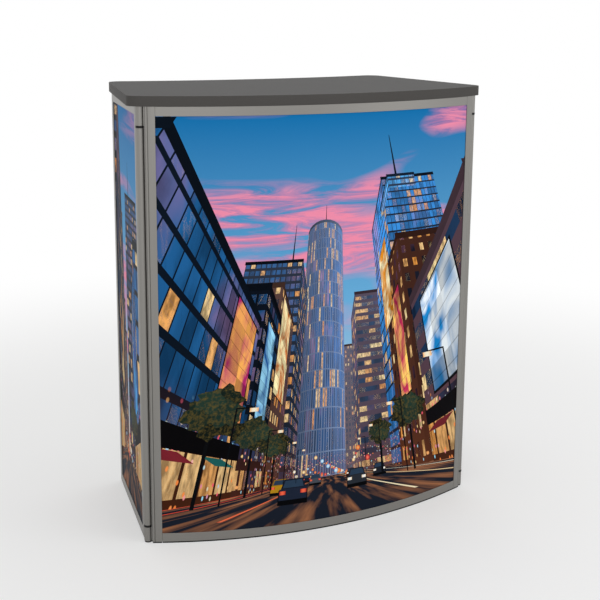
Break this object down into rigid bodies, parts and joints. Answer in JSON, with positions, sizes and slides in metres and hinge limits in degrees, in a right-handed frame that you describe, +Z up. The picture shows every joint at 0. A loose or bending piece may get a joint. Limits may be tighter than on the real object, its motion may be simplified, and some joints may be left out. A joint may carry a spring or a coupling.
{
  "type": "exhibition counter",
  "caption": "Folding exhibition counter: a bowed front frame with a printed panel, side frames hinged to its ends and a lift-off countertop.",
  "frame": {"origin": "on the floor under the middle of the countertop's bounding box", "axes": "+X to the right along the front as seen from inside, looking from the front to the back; +Y from the front to the open back; +Z up"},
  "size_m": [0.8726, 0.5114, 1.016],
  "materials": {
    "anodised_profile": "satin anodised extrusion",
    "printed_board": "print under a satin film",
    "laminate": "dark grey laminate on board",
    "edging": "dark grey edging strip",
    "foot_strip": "matt",
    "cast_block": "die cast",
    "black_plastic": "moulded nylon",
    "steel": "ground",
    "magnet": "nickel plated"
  },
  "bodies": {
    "front_frame": {"front_rail_top": "anodised_profile", "front_rail_bottom": "anodised_profile", "front_base_strip": "foot_strip", "front_panel": "printed_board", "front_post_left": "anodised_profile", "front_post_right": "anodised_profile", "front_foot_left": "black_plastic", "front_foot_right": "black_plastic", "front_block_top_left": "cast_block", "front_block_top_right": "cast_block", "front_block_bottom_left": "cast_block", "front_block_bottom_right": "cast_block", "hinge_pin_top_left": "steel", "hinge_pin_top_right": "steel", "hinge_pin_bottom_left": "steel", "hinge_pin_bottom_right": "steel"},
    "left_side": {"left_hinge_post": "anodised_profile", "left_rear_post": "anodised_profile", "left_rail_top": "anodised_profile", "left_rail_bottom": "anodised_profile", "left_panel": "printed_board", "left_base_strip": "foot_strip", "left_block_top_front": "cast_block", "left_block_top_rear": "cast_block", "left_block_bottom_front": "cast_block", "left_block_bottom_rear": "cast_block", "left_foot_front": "black_plastic", "left_foot_rear": "black_plastic", "left_hinge_bush_top": "black_plastic", "left_hinge_bush_bottom": "black_plastic", "left_rear_cap": "black_plastic", "left_magnet": "magnet"},
    "right_side": {"right_hinge_post": "anodised_profile", "right_rear_post": "anodised_profile", "right_rail_top": "anodised_profile", "right_rail_bottom": "anodised_profile", "right_panel": "printed_board", "right_base_strip": "foot_strip", "right_block_top_front": "cast_block", "right_block_top_rear": "cast_block", "right_block_bottom_front": "cast_block", "right_block_bottom_rear": "cast_block", "right_foot_front": "black_plastic", "right_foot_rear": "black_plastic", "right_hinge_bush_top": "black_plastic", "right_hinge_bush_bottom": "black_plastic", "right_rear_cap": "black_plastic", "right_magnet": "magnet"},
    "countertop": {"countertop_board": "laminate", "countertop_edging": "edging", "pin_socket_left": "black_plastic", "pin_socket_right": "black_plastic", "strike_plate_left": "steel", "strike_plate_right": "steel"}
  },
  "joints": [
    {"name": "left_side_fold", "type": "hinge", "parent": "front_frame", "child": "left_side", "pos_m": [-0.41202, -0.15764, 0.5], "axis": [0, 0, -1], "range_deg": [0, 82]},
    {"name": "right_side_fold", "type": "hinge", "parent": "front_frame", "child": "right_side", "pos_m": [0.41202, -0.15764, 0.5], "axis": [0, 0, 1], "range_deg": [0, 82]},
    {"name": "countertop_lift", "type": "slide", "parent": "front_frame", "child": "countertop", "axis": [0, 0, 1], "range_m": [0, 0.08]}
  ]
}
